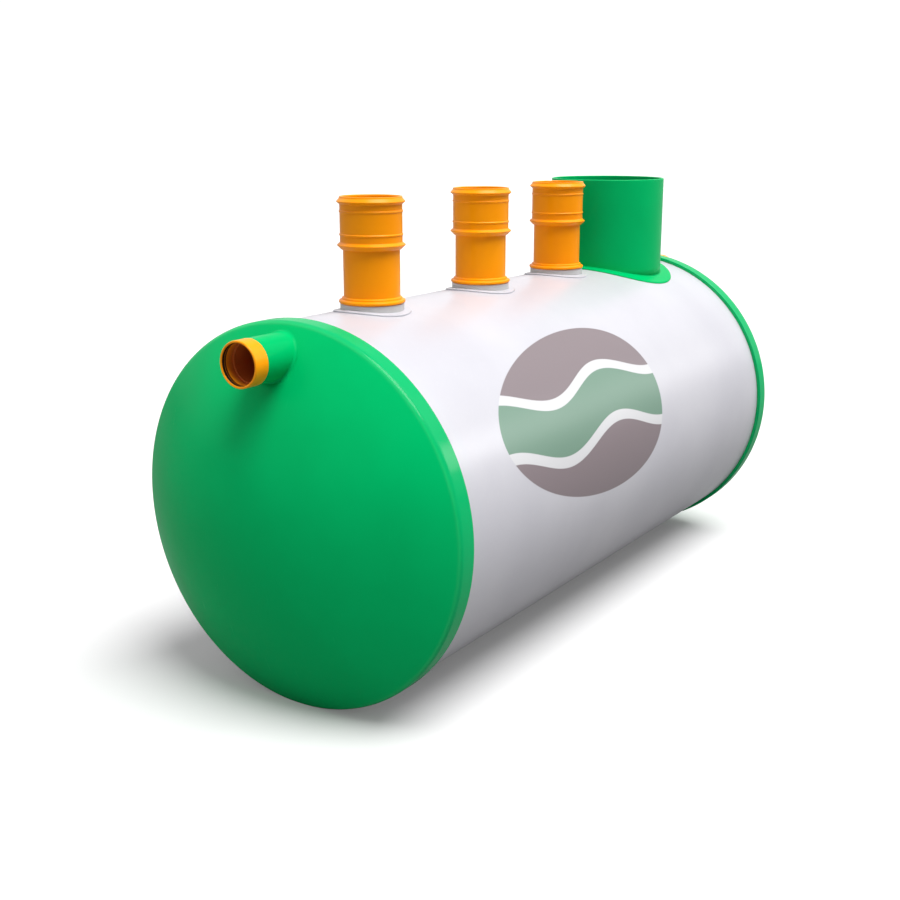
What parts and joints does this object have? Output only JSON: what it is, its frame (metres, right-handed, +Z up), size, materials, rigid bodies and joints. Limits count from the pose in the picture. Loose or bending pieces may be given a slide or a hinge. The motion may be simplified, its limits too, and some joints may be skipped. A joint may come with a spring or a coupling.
{
  "type": "septic tank",
  "caption": "Septic tank on its side: hollow barrel, dished end caps with a pipe socket high in each, upright riser pipes and an open manhole neck on top",
  "frame": {"origin": "on the floor under the middle of the tank, midway between the lips of the two drain sockets", "axes": "+X along the tank from the inlet end to the outlet end, +Y across, +Z up"},
  "size_m": [2.5434, 1.0846, 1.3818],
  "materials": {
    "barrel_white": "satin white plastic sheet with a faint ripple",
    "cap_green": "glossy moulded green plastic",
    "pipe_orange": "satin orange drain pipe plastic",
    "stub_white": "satin pale grey plastic",
    "seal_rubber": "black sealing rubber"
  },
  "bodies": {
    "root": {"tank_barrel": "barrel_white", "front_end_cap": "cap_green", "rear_end_cap": "cap_green", "inlet_sleeve": "cap_green", "inlet_socket": "pipe_orange", "inlet_seal": "seal_rubber", "outlet_sleeve": "cap_green", "outlet_socket": "pipe_orange", "outlet_seal": "seal_rubber", "riser_saddle_1": "barrel_white", "riser_stub_1": "stub_white", "riser_pipe_1": "pipe_orange", "riser_coupling_1": "pipe_orange", "riser_seal_1": "seal_rubber", "riser_saddle_2": "barrel_white", "riser_stub_2": "stub_white", "riser_pipe_2": "pipe_orange", "riser_coupling_2": "pipe_orange", "riser_seal_2": "seal_rubber", "riser_saddle_3": "barrel_white", "riser_stub_3": "stub_white", "riser_pipe_3": "pipe_orange", "riser_coupling_3": "pipe_orange", "riser_seal_3": "seal_rubber", "manhole_neck": "cap_green", "manhole_saddle": "cap_green"}
  },
  "joints": []
}
